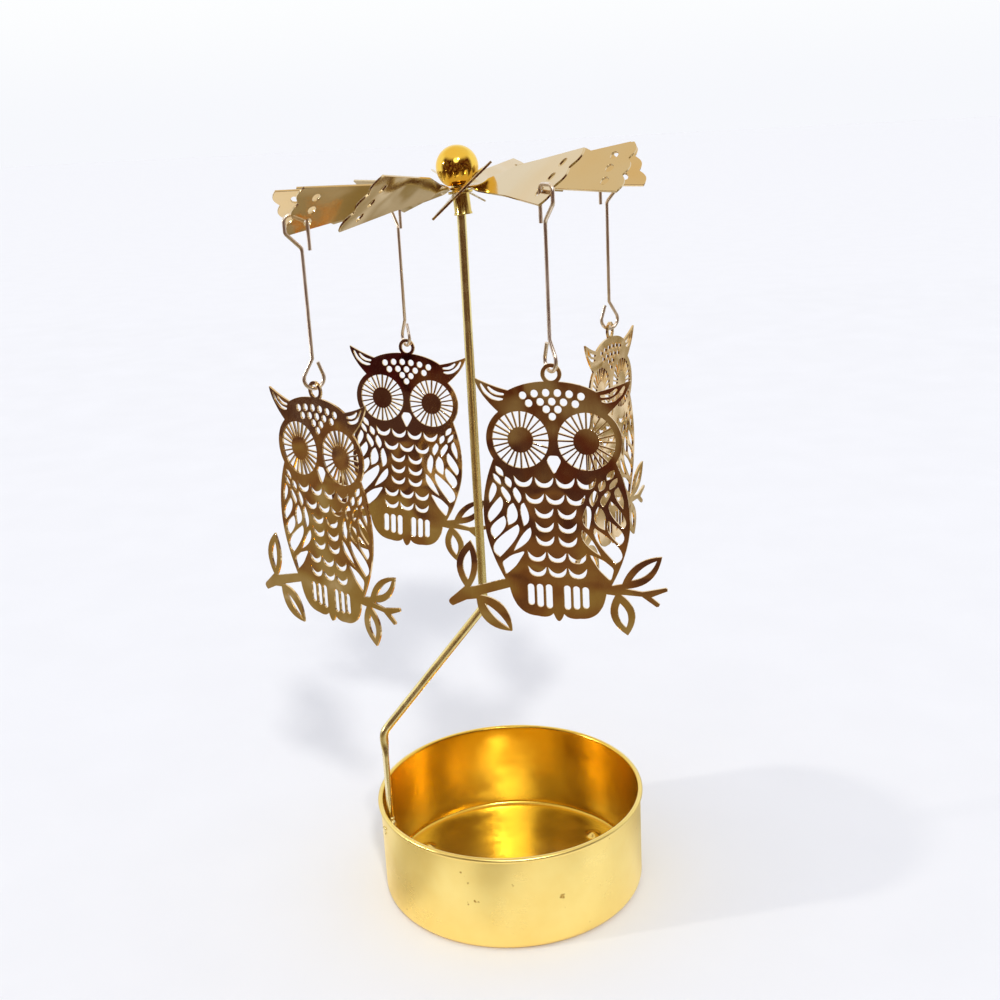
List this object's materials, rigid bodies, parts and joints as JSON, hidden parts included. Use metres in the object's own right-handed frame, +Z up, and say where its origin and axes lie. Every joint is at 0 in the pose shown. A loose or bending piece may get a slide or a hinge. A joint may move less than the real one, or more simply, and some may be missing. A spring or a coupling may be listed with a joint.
{
  "type": "rotating candle holder",
  "caption": "Pressed cup for a tealight with a bent stem and a pitched-blade rotor on its point, which the flame's warm air turns; cut-out owls on wire hangers hang from the blades.",
  "frame": {"origin": "middle of the cup's underside, on the table", "axes": "+Z up along the cup's axis; the stem's foot is on -X and the stem bends in the XZ plane; +Y completes the right-handed frame"},
  "size_m": [0.087, 0.0905, 0.155],
  "materials": {
    "cup_sheet": "satin gold plating on pressed sheet, fine pits and handling marks",
    "stem_rod": "polished yellow plating on drawn rod, flattened foot",
    "rotor_sheet": "polished pale gold plating on thin sheet",
    "ball": "mirror polished gold",
    "bush": "turned and polished",
    "hanger_wire": "bright drawn wire",
    "owl_sheet": "mirror polished gold plating on cut sheet"
  },
  "bodies": {
    "base": {"cup": "cup_sheet", "stem": "stem_rod"},
    "rotor": {"rotor_plate": "rotor_sheet", "finial_ball": "ball", "pivot_bush": "bush"},
    "hanger_1": {"hanger_1": "hanger_wire"},
    "owl_1": {"owl_1": "owl_sheet"},
    "hanger_2": {"hanger_2": "hanger_wire"},
    "owl_2": {"owl_2": "owl_sheet"},
    "hanger_3": {"hanger_3": "hanger_wire"},
    "owl_3": {"owl_3": "owl_sheet"},
    "hanger_4": {"hanger_4": "hanger_wire"},
    "owl_4": {"owl_4": "owl_sheet"}
  },
  "joints": [
    {"name": "rotor_spin", "type": "hinge", "parent": "base", "child": "rotor", "pos_m": [-0.0036, 0, 0.1472], "axis": [-0.0673, 0.0554, 0.9962], "continuous": true},
    {"name": "hanger_1_swing", "type": "hinge", "parent": "rotor", "child": "hanger_1", "pos_m": [0.02796, 0.00492, 0.14723], "axis": [0.1564, -0.9877, 0], "range_deg": [-3, 20]},
    {"name": "owl_1_turn", "type": "hinge", "parent": "hanger_1", "child": "owl_1", "pos_m": [0.02796, 0.00492, 0.11713], "axis": [0, 0, 1], "range_deg": [-1.7, 107.3]},
    {"name": "hanger_2_swing", "type": "hinge", "parent": "rotor", "child": "hanger_2", "pos_m": [-0.00838, 0.03131, 0.14349], "axis": [0.9877, 0.1564, 0], "range_deg": [-3, 20]},
    {"name": "owl_2_turn", "type": "hinge", "parent": "hanger_2", "child": "owl_2", "pos_m": [-0.00838, 0.03131, 0.11339], "axis": [0, 0, 1], "range_deg": [-5.1, 103.9]},
    {"name": "hanger_3_swing", "type": "hinge", "parent": "rotor", "child": "hanger_3", "pos_m": [-0.03488, -0.00515, 0.14372], "axis": [-0.1564, 0.9877, 0], "range_deg": [-3, 20]},
    {"name": "owl_3_turn", "type": "hinge", "parent": "hanger_3", "child": "owl_3", "pos_m": [-0.03488, -0.00515, 0.11362], "axis": [0, 0, 1], "range_deg": [-74.1, 34.9]},
    {"name": "hanger_4_swing", "type": "hinge", "parent": "rotor", "child": "hanger_4", "pos_m": [0.00146, -0.03154, 0.14746], "axis": [-0.9877, -0.1564, 0], "range_deg": [-3, 20]},
    {"name": "owl_4_turn", "type": "hinge", "parent": "hanger_4", "child": "owl_4", "pos_m": [0.00146, -0.03154, 0.11736], "axis": [0, 0, 1], "range_deg": [-10, 99]}
  ]
}
